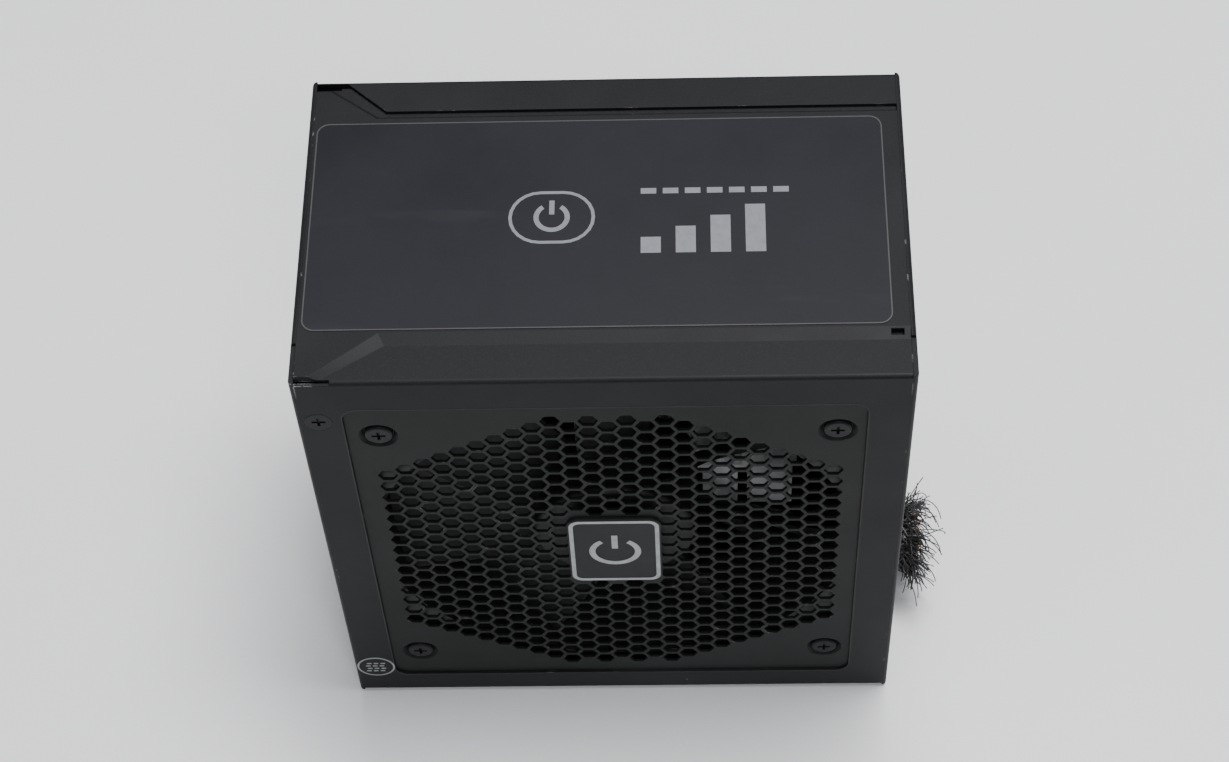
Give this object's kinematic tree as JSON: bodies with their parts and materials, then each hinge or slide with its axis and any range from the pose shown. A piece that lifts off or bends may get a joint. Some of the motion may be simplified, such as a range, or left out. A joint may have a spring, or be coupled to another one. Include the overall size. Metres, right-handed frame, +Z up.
{
  "type": "computer power supply unit",
  "caption": "Fan-cooled power supply unit for a desktop computer, in a folded steel case with a grille, mains inlet, switch, detachable-cable sockets and a wired outlet.",
  "frame": {"origin": "centre of the long side that the unit stands on", "axes": "+Z up, +X towards the cable end, -Y out of the fan face"},
  "size_m": [0.1514, 0.0864, 0.1501],
  "materials": {
    "powder_coat": "satin textured powder coat",
    "black_screw": "black oxide",
    "badge": "gloss",
    "silver_sticker": "satin",
    "vinyl_label": "smooth vinyl",
    "fan_plastic": "moulded",
    "steel": "plated",
    "brass_parts": "plated",
    "ferrite": "sintered",
    "copper_winding": "enamelled",
    "circuit_board": "solder mask",
    "lead_red": "pvc",
    "white_nylon": "moulded",
    "inlet_plastic": "moulded",
    "clear_film": "film",
    "capacitor_sleeve": "heat-shrink sleeve",
    "heatsink": "milled",
    "epoxy": "moulded",
    "transformer_tape": "polyester tape",
    "film_capacitor": "moulded",
    "blue_disc": "coated",
    "lead_blue": "pvc",
    "lead_green": "pvc",
    "wire_insulation": "pvc",
    "braid": "woven filament",
    "rubber": "moulded"
  },
  "bodies": {
    "case": {"cover_shell": "powder_coat", "fan_grille": "powder_coat", "chassis_back_plate": "powder_coat", "chassis_inlet_end": "powder_coat", "chassis_cable_end": "powder_coat", "cover_screws": "black_screw", "fan_screws": "black_screw", "grille_badge": "badge", "seal_sticker": "silver_sticker", "side_label": "vinyl_label", "rating_label": "vinyl_label", "fan_frame": "fan_plastic", "fan_motor_mount": "fan_plastic", "fan_bearing": "brass_parts", "fan_stator": "copper_winding", "fan_circuit_board": "circuit_board", "fan_lead": "lead_red", "fan_plug": "white_nylon", "ac_inlet_body": "inlet_plastic", "ac_inlet_pins": "brass_parts", "rocker_switch_frame": "inlet_plastic", "rocker_switch_terminals": "brass_parts", "main_board": "circuit_board", "board_standoffs": "brass_parts", "board_screws": "steel", "insulation_sheet": "clear_film", "inlet_filter_board": "circuit_board", "modular_board": "circuit_board", "modular_sockets": "inlet_plastic", "socket_pins": "brass_parts", "bulk_capacitor": "capacitor_sleeve", "output_capacitors": "capacitor_sleeve", "primary_heatsink": "heatsink", "primary_transistors": "epoxy", "secondary_heatsink": "heatsink", "rectifier_transistors": "epoxy", "main_transformer": "transformer_tape", "standby_transformer": "transformer_tape", "pfc_choke": "copper_winding", "output_choke": "copper_winding", "emi_choke": "copper_winding", "bridge_rectifier": "epoxy", "x_capacitors": "film_capacitor", "y_capacitors": "blue_disc", "fuse": "white_nylon", "thermistor": "blue_disc", "relay": "epoxy", "control_board": "circuit_board", "ac_leads": "lead_blue", "earth_lead": "lead_green", "earth_screw": "steel", "output_wires": "wire_insulation", "output_sleeve": "braid", "cable_tie": "white_nylon", "cable_grommet": "rubber"},
    "fan_rotor": {"fan_rotor": "fan_plastic", "fan_shaft": "steel", "fan_magnet_ring": "ferrite"},
    "switch_rocker": {"rocker_switch_rocker": "inlet_plastic"}
  },
  "joints": [
    {"name": "fan_spin", "type": "hinge", "parent": "case", "child": "fan_rotor", "pos_m": [0.0004, -0.028, 0.074], "axis": [0, -1, 0], "continuous": true},
    {"name": "switch_tilt", "type": "hinge", "parent": "case", "child": "switch_rocker", "pos_m": [-0.067, 0.019, 0.096], "axis": [0, 1, 0], "range_deg": [0, 20]}
  ]
}
